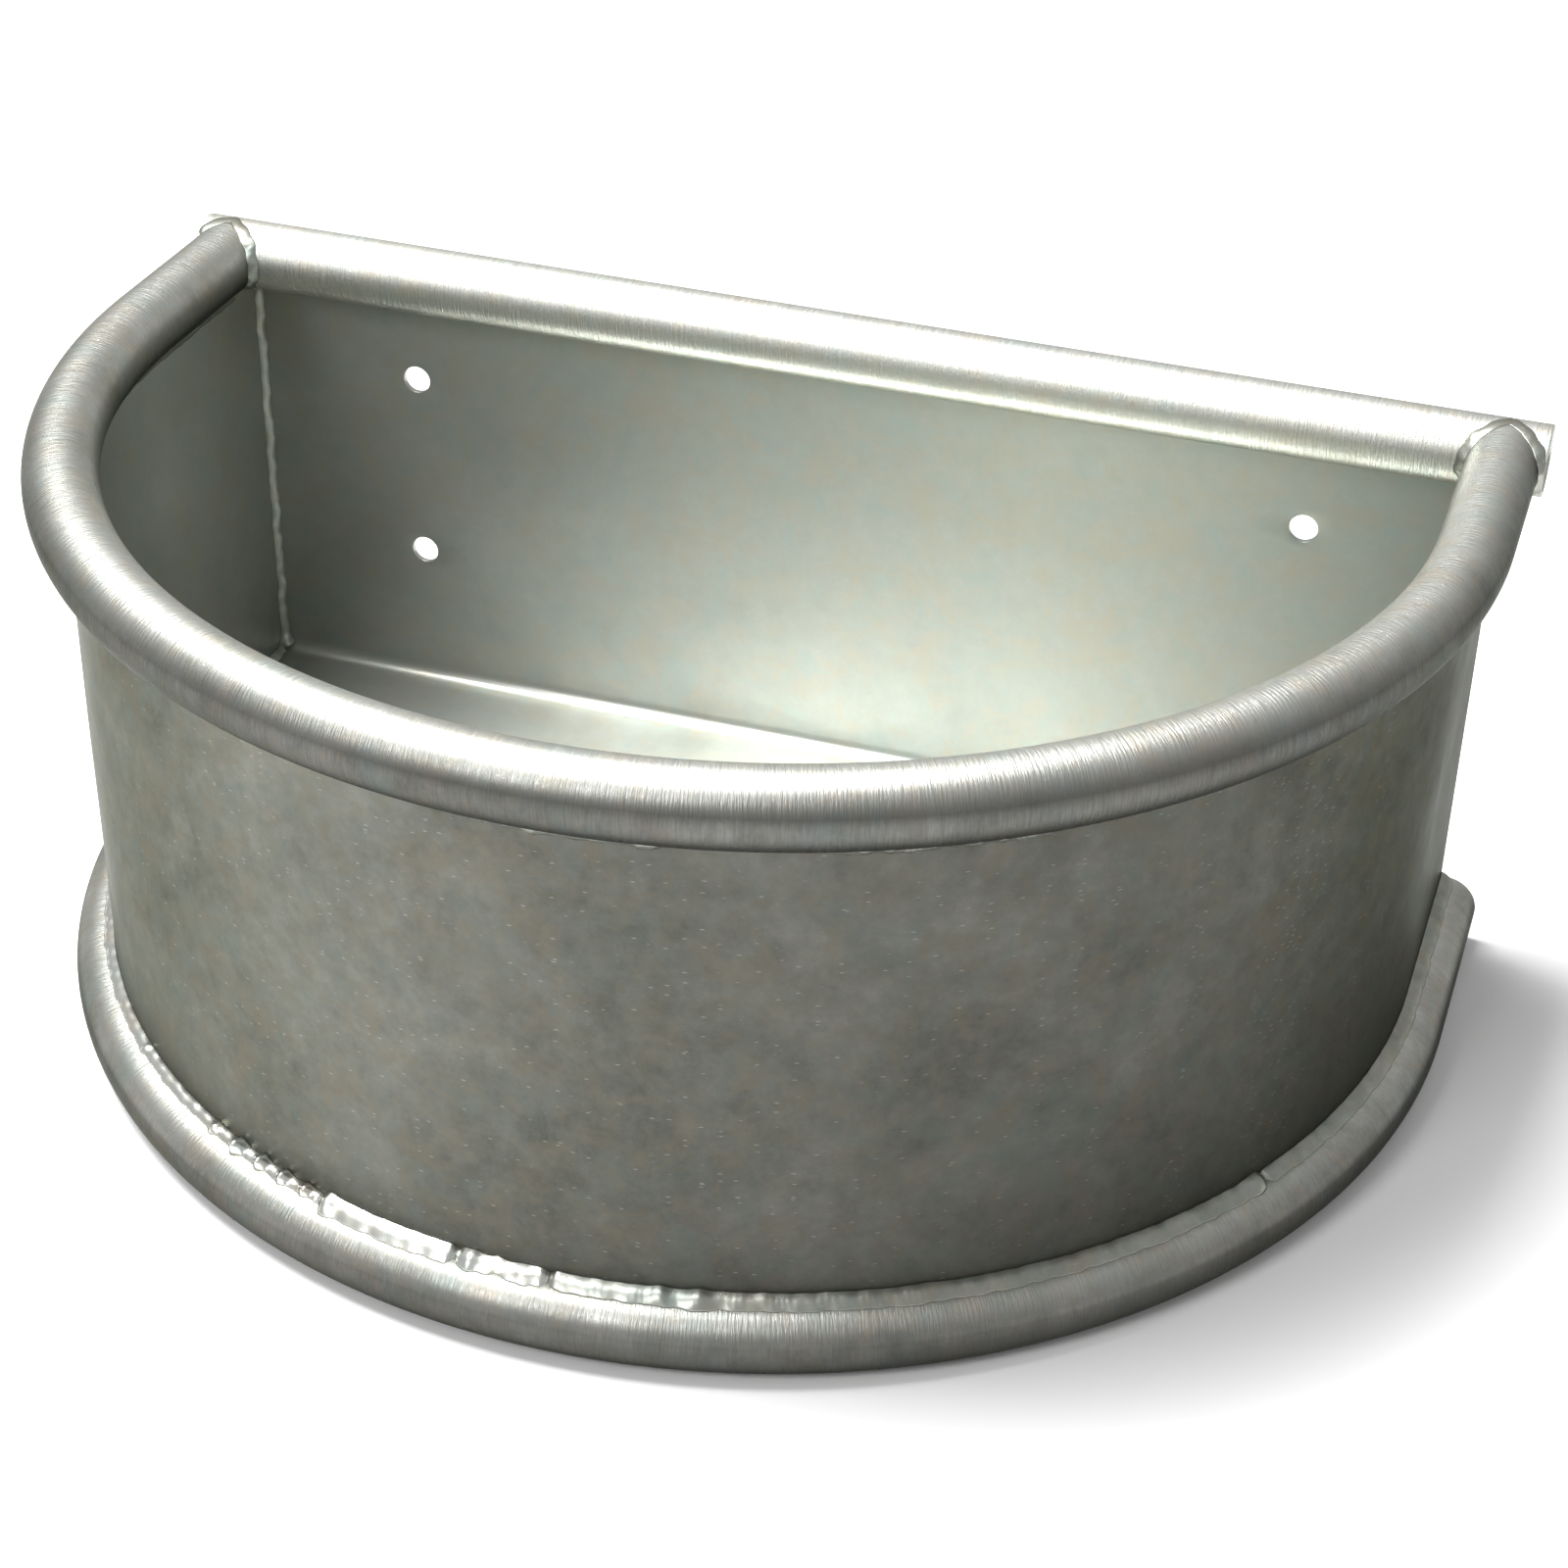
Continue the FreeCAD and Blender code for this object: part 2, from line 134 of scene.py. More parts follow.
def zinc(name, light, dark, roughness, seed, metal=0.95, cloud=14.0, painted_shade_below=None, painted_shade_shares=()):
    """Hot-dip zinc: two greys in clouds, mottling, brownish and bluish patches, and specks.

    The clouds are broad noise, the mottling is noise from about a centimetre down, the tinted
    patches are noise of 2 to 3 cm, and the specks are the cores of small stretched random cells.
    On tubes, which have a UV map of the distance round the tube and along it, hair-fine strokes
    run across the tube.

    Two settings are painted stand-ins for uneven light, not properties of zinc. painted_shade_below is the
    share of brightness kept on a tube's lower and outer side, which is the front on the rail, and
    it rises to the whole on top. Each of the shares gives an x and the share of brightness kept
    there, and then the same at a second x.
    """
    material = bpy.data.materials.new(name)
    material.use_nodes = True
    tree = material.node_tree
    shader = tree.nodes["Principled BSDF"]
    shader.inputs["Metallic"].default_value = metal
    shader.inputs["Specular Tint"].default_value = (0.35, 0.36, 0.34, 1.0)

    def make(kind, place, **settings):
        made = tree.nodes.new(kind)
        made.location = place
        for setting, wanted in settings.items():
            setattr(made, setting, wanted)
        return made

    def mapped(source, scale, place, turn=0.0):
        made = make("ShaderNodeMapping", place)
        made.inputs["Location"].default_value = (seed * 0.37, seed * 0.71, seed * 0.13)
        made.inputs["Rotation"].default_value = (0.0, 0.0, turn)
        made.inputs["Scale"].default_value = scale
        tree.links.new(source, made.inputs["Vector"])
        return made.outputs["Vector"]

    def noise(vector, scale, detail, place, rough=0.5, distortion=0.0):
        made = make("ShaderNodeTexNoise", place)
        made.inputs["Scale"].default_value = scale
        made.inputs["Detail"].default_value = detail
        made.inputs["Roughness"].default_value = rough
        made.inputs["Distortion"].default_value = distortion
        tree.links.new(vector, made.inputs["Vector"])
        return made.outputs["Fac"]

    def ramp(source, low, high, place, to_low=0.0, to_high=1.0):
        made = make("ShaderNodeMapRange", place)
        made.inputs["From Min"].default_value = low
        made.inputs["From Max"].default_value = high
        made.inputs["To Min"].default_value = to_low
        made.inputs["To Max"].default_value = to_high
        tree.links.new(source, made.inputs["Value"])
        return made.outputs["Result"]

    def combine(operation, first, second, place):
        made = make("ShaderNodeMath", place, operation=operation)
        for socket, source in zip(made.inputs, (first, second)):
            if isinstance(source, float):
                socket.default_value = source
            else:
                tree.links.new(source, socket)
        return made.outputs[0]

    def blend(factor, first, second, place):
        made = make("ShaderNodeMix", place, data_type="RGBA")
        for socket, source in ((made.inputs["A"], first), (made.inputs["B"], second)):
            if isinstance(source, tuple):
                socket.default_value = (*source, 1.0)
            else:
                tree.links.new(source, socket)
        tree.links.new(factor, made.inputs["Factor"])
        return made.outputs["Result"]

    def split_axes(vector, axis, place):
        made = make("ShaderNodeSeparateXYZ", place)
        tree.links.new(vector, made.inputs["Vector"])
        return made.outputs[axis]

    coords = make("ShaderNodeTexCoord", (-1900, 0))
    place = mapped(coords.outputs["Object"], (1.0, 1.0, 1.0), (-1700, 200))
    stretched = mapped(coords.outputs["Object"], (0.34, 0.34, 1.5), (-1700, -200), 0.5)
    clouds = ramp(noise(place, cloud, 5.0, (-1400, 500), 0.62, 0.5), 0.33, 0.70, (-1200, 500))
    mottle = ramp(noise(place, 85.0, 6.0, (-1400, 250), 0.75), 0.3, 0.7, (-1200, 250))
    tone = combine("ADD", combine("MULTIPLY", clouds, 0.6, (-1000, 500)),
                   combine("MULTIPLY", mottle, 0.4, (-1000, 250)), (-800, 400))

    cells = make("ShaderNodeTexVoronoi", (-1400, -100))
    cells.inputs["Scale"].default_value = 560.0
    tree.links.new(stretched, cells.inputs["Vector"])
    core = ramp(cells.outputs["Distance"], 0.12, 0.26, (-1200, -100), 1.0, 0.0)
    chance = make("ShaderNodeSeparateColor", (-1200, -350))
    tree.links.new(cells.outputs["Color"], chance.inputs["Color"])
    specks = combine("MULTIPLY", core, ramp(chance.outputs["Red"], 0.87, 0.90, (-1000, -350)), (-800, -200))

    colour = blend(tone, dark, light, (-500, 500))
    middle = [(light[k] + dark[k]) / 2 for k in range(3)]
    brownish, bluish = (1.10, 0.96, 0.84), (0.86, 1.0, 1.04)
    for number, (scale, low, tint) in enumerate(((47.0, 0.47, brownish), (31.0, 0.5, bluish))):
        patches = ramp(noise(place, scale, 5.0, (-1400, 750 + 250 * number), 0.7, 1.0), low, low + 0.16,
                       (-1200, 750 + 250 * number), 0.0, 0.5)
        tinted = tuple(middle[k] * tint[k] for k in range(3))
        colour = blend(patches, colour, tinted, (-400, 700 - 200 * number))
    colour = blend(combine("MULTIPLY", specks, 0.25, (-600, -200)), colour, (0.7, 0.7, 0.66), (-100, 500))
    grain = combine("MULTIPLY", noise(place, 900.0, 2.0, (-1400, -600)), 0.00003, (-1000, -600))
    height = combine("ADD", grain, combine("MULTIPLY", specks, 0.00005, (-600, -400)), (-400, -500))
    height = combine("ADD", height, combine("MULTIPLY", noise(place, 55.0, 3.0, (-1400, -850)), 0.00022,
                                            (-1000, -850)), (-300, -600))
    rough = ramp(tone, 0.0, 1.0, (-500, 100), roughness + 0.06, roughness - 0.06)
    # Painted shade: the colour is darkened to a share that changes across x, with a ragged edge.
    for number, (low, low_share, high, high_share) in enumerate(painted_shade_shares):
        ragged = combine("ADD", split_axes(coords.outputs["Object"], "X", (-1400, -1600)),
                         combine("MULTIPLY", clouds, 0.04, (-1000, -1600)), (-800, -1600))
        kept = ramp(ragged, low, high, (-600, -1600), low_share, high_share)
        colour = blend(kept, (0.0, 0.0, 0.0), colour, (100 + 200 * number, 700))
    if painted_shade_below is not None:
        skin = mapped(coords.outputs["UV"], (95.0, 1000.0, 1.0), (-1700, -1100), 0.05)
        strokes = ramp(noise(skin, 1.0, 3.0, (-1400, -1100), 0.6), 0.35, 0.65, (-1200, -1100))
        height = combine("ADD", height, combine("MULTIPLY", strokes, 0.00014, (-1000, -1100)), (-200, -700))
        rough = combine("ADD", rough, combine("MULTIPLY", strokes, 0.1, (-1000, -1250)), (-200, 100))
        # Painted shade: round each tube, the lower and outer side keeps only a share of its brightness.
        angle = combine("DIVIDE", split_axes(coords.outputs["UV"], "X", (-1400, -1400)), tube_radius,
                        (-1200, -1400))
        lean = combine("SUBTRACT", angle, 0.35, (-1100, -1500))
        shade = ramp(combine("SINE", lean, 0.0, (-1000, -1400)), -0.05, 0.85, (-800, -1400), painted_shade_below, 1.0)
        colour = blend(combine("MULTIPLY", strokes, 0.3, (-1000, -900)), colour, dark, (0, 500))
        colour = blend(shade, (0.0, 0.0, 0.0), colour, (100, 500))
    tree.links.new(colour, shader.inputs["Base Color"])
    tree.links.new(rough, shader.inputs["Roughness"])
    bump = make("ShaderNodeBump", (0, -400))
    bump.inputs["Strength"].default_value = 0.7
    bump.inputs["Distance"].default_value = 1.0
    tree.links.new(height, bump.inputs["Height"])
    tree.links.new(bump.outputs["Normal"], shader.inputs["Normal"])
    shader.location, tree.nodes["Material Output"].location = (300, 300), (600, 300)
    return material


def finish_piece(piece, material, slot, *nodes):
    """Paint a piece, put it on the body and hide the CAD nodes that it stands for."""
    piece.data.materials.append(material)
    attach(piece, "root")
    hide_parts(*nodes)


# Angles round a tube start on its hidden lower side, where the texture's lap closes.
lap_points = 72
around = np.radians(225) + np.linspace(0, 2 * np.pi, lap_points, endpoint=False)[:, None]
lap = 2 * np.pi * tube_radius
radius, length = plate_profile(rail_low.x, rail_high.x, tube_radius, tube_bore, 0.004)
rail_x = np.broadcast_to(length, (lap_points, length.size))
rail_points = np.stack([rail_x, rail_y - radius * np.cos(around), rail_z + radius * np.sin(around)], axis=-1)
rail = add_mesh("rail", rail_points, grid_faces(lap_points, length.size, True, True))
add_uv(rail, np.broadcast_to(around * tube_radius, rail_x.shape), rail_x, lap)
# The rail's front and lower side is a little darker: painted shade.
rail_zinc = zinc("rail_zinc", (0.86, 0.86, 0.82), (0.58, 0.59, 0.54), 0.36, 1, painted_shade_below=0.92)
finish_piece(rail, rail_zinc, "tube", "top_rail")

# --- The rim -------------------------------------------------------------------------------------
# The same tube bent to a half circle with two short straight legs. Each leg's end is cut to the
# round of the rail and butts on it.

wall_low, wall_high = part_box("front_wall")
bend_radius = wall_high.x
bend_y = wall_low.y + bend_radius
back_y = wall_high.y
leg_length = back_y - bend_y
path_length = 2 * leg_length + np.pi * bend_radius
cope_gap = 0.0002


def around_wall(along, outward):
    """Plan position at a distance along the wall's outer face and a distance outward from it.

    The distance runs from the back of the right leg, round the bend, to the back of the left leg:
    angle = (distance - leg) / radius held between 0 and pi, x = (radius + outward) cos(angle),
    y = bend centre - (radius + outward) sin(angle), plus what is left of the leg.
    """
    angle = np.clip((along - leg_length) / bend_radius, 0.0, np.pi)
    right_leg = np.clip(leg_length - along, 0.0, None)
    left_leg = np.clip(along - leg_length - np.pi * bend_radius, 0.0, None)
    x = (bend_radius + outward) * np.cos(angle)
    y = bend_y - (bend_radius + outward) * np.sin(angle) + right_leg + left_leg
    return x, y


def ring_points(radius, along, outward, height):
    """A tube of the given radius about a line that runs outside the wall at a height."""
    x, y = around_wall(along, outward + radius * np.cos(around))
    return np.stack([x, y, height + radius * np.sin(around)], axis=-1)


radius, fraction = plate_profile(0.0, path_length, tube_radius, tube_bore, 0.0034)
cope_depth = back_y - rail_y + np.sqrt((tube_radius + cope_gap) ** 2 - (radius * np.sin(around)) ** 2)
along = cope_depth + fraction / path_length * (path_length - 2 * cope_depth)
rim = add_mesh("rim", ring_points(radius, along, 0.0, rail_z),
               grid_faces(lap_points, fraction.size, True, True))
add_uv(rim, np.broadcast_to(around * tube_radius, along.shape), along, lap)
# The tubes' lower and outer sides, and their left ends, are darkened as painted shade.
tube_zinc = zinc("tube_zinc", (0.82, 0.82, 0.78), (0.36, 0.37, 0.33), 0.37, 6, painted_shade_below=0.2,
                 painted_shade_shares=[(-0.33, 0.66, -0.2, 1.0)])
finish_piece(rim, tube_zinc, "tube", "rim_tube")

# --- The base ring -------------------------------------------------------------------------------
# A second bent tube under the wall, a little wider than the rim. Its open ends finish level with
# the back, and the trough stands on it.

base_low, base_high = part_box("base_tube")
base_outward = base_high.x - tube_radius - bend_radius
base_z = (base_low.z + base_high.z) / 2
radius, length = plate_profile(0.0, path_length, tube_radius, tube_bore, 0.0034)
along = np.broadcast_to(length, (lap_points, length.size))
base_ring = add_mesh("base_ring", ring_points(radius, along, base_outward, base_z),
                     grid_faces(lap_points, length.size, True, True))
add_uv(base_ring, np.broadcast_to(around * tube_radius, along.shape), along, lap)
# The base ring takes the same zinc, with the same painted shade.
finish_piece(base_ring, tube_zinc, "tube", "base_tube")

# --- The front wall ------------------------------------------------------------------------------
# Steel sheet 3 mm thick, rolled to the round of the rings and stood between them. Behind the rail
# its top corners rise a little and follow the round of the tube. Rolling left it a touch uneven.

gauge = 0.003
wall_bottom, ear_top = wall_low.z, wall_high.z
rim_underside = rail_z - tube_radius


def wobble(along, seed, lengths, size):
    """Smooth irregularity: a sum of sines of the given wavelengths with seeded phases."""
    phases = np.random.default_rng(seed).uniform(0, 2 * np.pi, len(lengths))
    waves = [np.sin(2 * np.pi * along / length + phase) for length, phase in zip(lengths, phases)]
    return size * sum(waves) / len(lengths)


def cap_faces(ring):
    """Four-cornered faces that close a ring of an even number of points."""
    near, far = ring[:len(ring) // 2], ring[::-1][:len(ring) // 2]
    return np.stack([near[:-1], near[1:], far[1:], far[:-1]], axis=-1)


def add_sweep(name, points, sharp=None):
    """A piece from cross-sections, a row of points round each section, closed at both ends."""
    rows, columns = points.shape[:2]
    first = cap_faces(np.arange(columns))
    last = cap_faces((rows - 1) * columns + np.arange(columns))[:, ::-1]
    faces = np.concatenate([grid_faces(rows, columns, wrap_columns=True), first, last])
    return add_mesh(name, points, faces, sharp)


ear = np.linspace(0.0, 0.018, 25)
middle = np.linspace(0.021, path_length - 0.021, 330)
along = np.concatenate([ear, middle, path_length - ear[::-1]])[:, None]
outward, fraction = plate_profile(0.0, rim_underside - wall_bottom, 0.0, -gauge, 0.006)
from_end = np.minimum(along, path_length - along)
under_rail = rail_z - np.sqrt(tube_radius ** 2 - np.clip(tube_radius - from_end, 0, tube_radius) ** 2)
top = np.where(from_end < tube_radius - gauge, np.minimum(ear_top, under_rail), rim_underside)
z = wall_bottom + fraction * (top - wall_bottom) / (rim_underside - wall_bottom)
unevenness = wobble(along, 5, (0.37, 0.21, 0.13), 0.0004) + wobble(along + z, 6, (0.29, 0.16), 0.0002)
held = np.sin(np.pi * np.clip((z - wall_bottom) / (rim_underside - wall_bottom), 0, 1))
held = held * np.clip(from_end / 0.08, 0, 1)
x, y = around_wall(along, outward + unevenness * held)
wall = add_sweep("front_wall_sheet", np.stack([x, y, z], axis=-1), sharp=50)
# One zinc in two greys: the dark outer zinc is painted shade and the pale inner zinc is painted light. The
# outer zinc is also darkened towards the right, and the inner zinc towards both sides, as painted shade.
wall_zinc = zinc("wall_zinc", (0.205, 0.206, 0.181), (0.09, 0.093, 0.079), 0.42, 2, cloud=11.0,
                 painted_shade_shares=[(-0.22, 1.0, 0.16, 0.56)])
inner_zinc = zinc("inner_zinc", (0.73, 0.755, 0.71), (0.57, 0.595, 0.55), 0.33, 3, metal=0.75, cloud=8.0,
                  painted_shade_shares=[(-0.36, 0.52, -0.04, 1.0), (0.12, 1.0, 0.34, 0.62)])
finish_piece(wall, wall_zinc, "sheet", "front_wall")
# The wall's inner faces take the pale inner zinc, whose paleness is painted light.
wall.data.materials.append(inner_zinc)
centre = np.empty(3 * len(wall.data.polygons))
wall.data.polygons.foreach_get("center", centre)
centre = centre.reshape(-1, 3)
round_bend = np.hypot(centre[:, 0], centre[:, 1] - bend_y)
from_bend = np.where(centre[:, 1] < bend_y, round_bend, np.abs(centre[:, 0]))
is_inner = from_bend < bend_radius - gauge / 2
wall.data.polygons.foreach_set("material_index", is_inner.astype(np.int32))

# --- The back panel and the floor ----------------------------------------------------------------
# One 3 mm sheet: the flat panel with four punched bolt holes, a fold of 8 mm inside radius, and
# the D-shaped floor that fills the wall. The zinc rounds the edges of the holes.

sheet_low, sheet_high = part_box("back_and_floor_sheet")
bolts = next(mount for mount in frame["record"]["mounts"] if mount["name"] == "wall_bolts")
hole_x = bolts["dims"]["spacing_x_mm"] / 2000
hole_radius = bolts["dims"]["hole_r_mm"] / 1000
hole_middle = bolts["pos_m"][2]
hole_rise = bolts["dims"]["spacing_y_mm"] / 2000
panel_face = back_y - gauge
fold_radius = 0.008
half_inside = bend_radius - gauge
fold_y = panel_face - fold_radius
fold_z = sheet_low.z + gauge + fold_radius
lip = 0.0004
# Columns crowd towards the sides, so that the floor's round edge stays smooth where it turns back.
half_columns, tile_rows = 61, 25
across = half_inside * np.sin(np.linspace(0, np.pi / 2, half_columns))


def panel_tile(side, low, high, hole_z):
    """A quarter of the panel: rings of points from its border to the rounded edge of its hole.

    Every ring's points lie on the straight lines from the hole's centre to the border's points.
    """
    up = np.linspace(low, high, tile_rows)
    border = np.concatenate([
        np.stack([across, np.full(half_columns, low)], axis=-1)[:-1],
        np.stack([np.full(tile_rows, half_inside), up], axis=-1)[:-1],
        np.stack([across, np.full(half_columns, high)], axis=-1)[:0:-1],
        np.stack([np.zeros(tile_rows), up], axis=-1)[:0:-1],
    ])
    centre = np.array([hole_x, hole_z])
    ray = border - centre
    reach = np.linalg.norm(ray, axis=-1, keepdims=True)
    edge = centre + ray / reach * (hole_radius + lip)
    rings = [border + (edge - border) * step for step in (0.0, 0.3, 0.6, 0.8, 0.92, 1.0)]
    depths = [0.0] * len(rings)
    for turn in np.radians((30, 60, 90)):
        rings.append(centre + ray / reach * (hole_radius + lip * (1 - np.sin(turn))))
        depths.append(lip * (1 - np.cos(turn)))
    rings = np.array(rings)
    y = np.broadcast_to(panel_face + np.array(depths)[:, None], rings.shape[:2])
    points = np.stack([side * rings[..., 0], y, rings[..., 1]], axis=-1)
    faces = grid_faces(*rings.shape[:2], wrap_columns=True)
    return points.reshape(-1, 3), faces[:, ::-1] if side > 0 else faces


def add_sheet(name, tiles, normal, sharp):
    """A closed sheet from tiles of its face: shared points are merged, a second face is laid
    behind the first, and the two are joined round every open edge."""
    starts = np.cumsum([0] + [len(points) for points, _ in tiles])
    points = np.concatenate([points for points, _ in tiles])
    faces = np.concatenate([faces + start for (_, faces), start in zip(tiles, starts)])
    points, merged = np.unique(np.round(points, 7), axis=0, return_inverse=True)
    faces = merged.reshape(-1)[faces]
    edges = np.concatenate([faces[:, [k, (k + 1) % 4]] for k in range(4)])
    pairs = edges.min(axis=1) * len(points) + edges.max(axis=1)
    _, first, uses = np.unique(pairs, return_index=True, return_counts=True)
    border = edges[first[uses == 1]]
    tail, tip = border.T
    sides = np.stack([tip, tail, tail + len(points), tip + len(points)], axis=-1)
    both = np.concatenate([points, normal(points)])
    return add_mesh(name, both, np.concatenate([faces, faces[:, ::-1] + len(points), sides]), sharp)


def behind(points):
    """The matching points on the back of the folded sheet, a sheet's thickness from the face.

    The direction is (y - fold y held at 0 or more, z - fold z held at 0 or less). Its length beyond
    the fold's radius is how far a point has sunk round a hole's edge, on both faces alike.
    """
    direction = np.zeros_like(points)
    direction[:, 1] = np.clip(points[:, 1] - fold_y, 0, None)
    direction[:, 2] = np.clip(points[:, 2] - fold_z, None, 0)
    size = np.linalg.norm(direction, axis=1, keepdims=True)
    return points + direction / size * (gauge - 2 * (size - fold_radius))


tiles = []
for side in (-1, 1):
    tiles.append(panel_tile(side, fold_z, hole_middle, hole_middle - hole_rise))
    tiles.append(panel_tile(side, hole_middle, sheet_high.z, hole_middle + hole_rise))
columns = np.concatenate([-across[:0:-1], across])
turn = np.linspace(0, np.pi / 2, 9)[:, None]
rearward = np.linspace(0, 1, 30)[1:, None]
floor_front = bend_y - np.sqrt(half_inside ** 2 - columns ** 2)
floor_y = np.concatenate([
    np.broadcast_to(fold_y + fold_radius * np.cos(turn), (9, columns.size)),
    fold_y + (floor_front - fold_y) * rearward,
])
floor_z = np.concatenate([fold_z - fold_radius * np.sin(turn), np.full_like(rearward, fold_z - fold_radius)])
floor_points = np.stack(np.broadcast_arrays(columns, floor_y, floor_z), axis=-1)
tiles.append((floor_points.reshape(-1, 3), grid_faces(*floor_y.shape)))
sheet = add_sheet("back_and_floor", tiles, behind, sharp=35)
# The front of the sheet takes the pale inner zinc (painted light), and its back takes the dark outer zinc
# (painted shade).
finish_piece(sheet, inner_zinc, "sheet", "back_and_floor_sheet")
sheet.data.materials.append(wall_zinc)
face_count = sum(len(faces) for _, faces in tiles)
is_outer = np.zeros(len(sheet.data.polygons), dtype=np.int32)
is_outer[face_count:2 * face_count] = 1
sheet.data.polygons.foreach_set("material_index", is_outer)

# --- The welds round the wall --------------------------------------------------------------------
# Hand-laid steel beads under the zinc. The base bead goes all round in five runs: thin and lumpy
# on the left, broad and bright at the front, nearly even on the right. Two short stitches and
# an inside bead hold the rim, and a small bead seals the floor.

floor_top = fold_z - fold_radius


def bead_sections(along, root, first_toe, second_toe, seed, crown, ripple, pitch, ragged, lumps=()):
    """Cross-sections of a weld bead, 13 points on its skin and one at its root.

    The skin is the chord between the two toes raised by sin(pi u) times a height: the crown, plus
    crescent ripples cos(2 pi (distance / pitch + bow)), plus bell-shaped lumps given as distance,
    width and height. Both toes wander and both ends are rounded off.
    """
    ends = np.minimum(along - along[0], along[-1] - along)
    taper = np.sqrt(np.clip(1 - (1 - ends / 0.004) ** 2, 0.35, 1)) * (ends < 0.004) + (ends >= 0.004)
    swelling = sum(
        height / crown * np.exp(-((along - place) / width) ** 2) for place, width, height in lumps
    )
    lengths = (0.0087, 0.0143, 0.0231, 0.0410)
    first, second = [
        toe(taper * (1 + wobble(along, seed + k, lengths, ragged) + grow * swelling))
        for k, (toe, grow) in enumerate(((first_toe, 0.22), (second_toe, 0.10)))
    ]
    u = np.linspace(0, 1, 13)
    phase = along / pitch + wobble(along, seed + 2, (0.019, 0.047), 0.8)
    crescents = np.cos(2 * np.pi * (phase[:, None] + 0.4 * (2 * u - 1) ** 2))
    height = crown * (1 + 0.2 * wobble(along, seed + 3, (0.011, 0.023, 0.052), 1.0) + swelling)
    height = taper[:, None] * (height[:, None] + ripple * crescents)
    chord = second - first
    outward = np.stack([chord[:, 1], -chord[:, 0]], axis=-1)
    outward *= np.sign(np.sum(outward * ((first + second) / 2 - root), axis=1, keepdims=True))
    outward /= np.linalg.norm(outward, axis=1, keepdims=True)
    u = u[None, :, None]
    skin = first[:, None] * (1 - u) + second[:, None] * u
    skin = skin + outward[:, None] * (np.sin(np.pi * u) * height[..., None])
    return np.concatenate([skin, np.broadcast_to(root, (len(along), 1, 2))], axis=1)


def between(wall_out, side, rise, tube_out, tube_height, reach, upper):
    """Root and toe functions of a bead between an upright face and the round of a tube.

    A toe function gives (outward, height) for the bead's size there, 1 being its full size. Points
    on the tube have height = tube height +- sqrt(radius^2 - (outward - tube outward)^2).
    """
    def on_tube(outward):
        return tube_height + upper * np.sqrt(tube_radius ** 2 - (outward - tube_out) ** 2)

    def up_the_wall(size):
        return np.stack([np.full_like(size, wall_out), on_tube(wall_out) + upper * rise * size], axis=-1)

    def along_the_tube(size):
        outward = wall_out + side * reach * size
        return np.stack([outward, on_tube(outward)], axis=-1)

    return np.array([wall_out, on_tube(wall_out)]), up_the_wall, along_the_tube


def add_wall_bead(name, start, end, groove, seed, **shape):
    """A bead swept along the wall from one distance to another, ring by ring."""
    along = np.linspace(start, end, max(24, round((end - start) / 0.0006)))
    sections = bead_sections(along, *groove, seed, **shape)
    x, y = around_wall(along[:, None], sections[..., 0])
    return add_sweep(name, np.stack([x, y, sections[..., 1]], axis=-1))


def at_angle(degrees):
    """Distance along the wall at an angle round the bend, counted from the right-hand leg."""
    return leg_length + bend_radius * math.radians(degrees)


weld_zinc = zinc("weld_zinc", (0.80, 0.81, 0.77), (0.52, 0.53, 0.49), 0.27, 4, cloud=45.0)
dull_weld_zinc = zinc("dull_weld_zinc", (0.46, 0.47, 0.43), (0.24, 0.25, 0.22), 0.38, 5, cloud=45.0)
runs = [
    (0.0, at_angle(29), 0.85, 0.85, dull_weld_zinc, {"ripple": 0.00003, "ragged": 0.08}, ()),
    (at_angle(29), at_angle(88), 0.9, 0.95, dull_weld_zinc, {"ripple": 0.00003, "ragged": 0.10},
     ((at_angle(30.2), 0.004, 0.0009), (at_angle(60), 0.006, 0.0004), (at_angle(76.7), 0.005, 0.0008),
      (at_angle(79.5), 0.004, 0.0006))),
    (at_angle(88), at_angle(95.5), 0.95, 0.95, weld_zinc, {"ripple": 0.0, "ragged": 0.20},
     ((at_angle(94.3), 0.003, 0.0007), (at_angle(90), 0.003, 0.0004))),
    (at_angle(95.5), at_angle(108), 1.0, 1.05, weld_zinc, {"ripple": 0.0, "ragged": 0.08},
     ((at_angle(107.2), 0.004, 0.0009),)),
    (at_angle(108), path_length, 0.5, 0.62, weld_zinc, {"ripple": 0.0, "ragged": 0.14},
     ((at_angle(109.6), 0.0026, 0.0020), (at_angle(112), 0.0024, 0.0026), (at_angle(114.6), 0.0030, 0.0030),
      (at_angle(117.4), 0.0034, 0.0038), (at_angle(120.6), 0.0024, 0.0012), (at_angle(133), 0.002, 0.0006),
      (at_angle(157), 0.002, 0.0006))),
]
for number, (start, end, rise, reach, material, shape, lumps) in enumerate(runs, start=1):
    groove = between(0.0, 1, 0.0045 * rise, base_outward, base_z, 0.008 * reach, 1)
    bead = add_wall_bead(f"base_bead_{number}", start, end, groove, 10 * number, crown=0.0007,
                         pitch=0.0036, lumps=lumps, **shape)
    finish_piece(bead, material, "weld", f"base_to_wall_weld_{number}")

under_rim = between(0.0, 1, 0.0042, 0.0, rail_z, 0.0065, -1)
for number, (start, end) in enumerate(((52, 68), (79, 93)), start=1):
    bead = add_wall_bead(f"rim_stitch_{number}", at_angle(start), at_angle(end), under_rim, 60 + 10 * number,
                         crown=0.0009, ripple=0.00008, pitch=0.0034, ragged=0.3)
    finish_piece(bead, dull_weld_zinc, "weld", f"rim_to_wall_stitch_{number}")

inside_rim = between(-gauge, -1, 0.005, 0.0, rail_z, 0.007, -1)
inside_start = back_y - rail_y + tube_radius
bead = add_wall_bead("rim_inside_bead", inside_start, path_length - inside_start, inside_rim, 90,
                     crown=0.0009, ripple=0.00008, pitch=0.0032, ragged=0.15)
finish_piece(bead, dull_weld_zinc, "weld", "rim_to_wall_inside_weld")

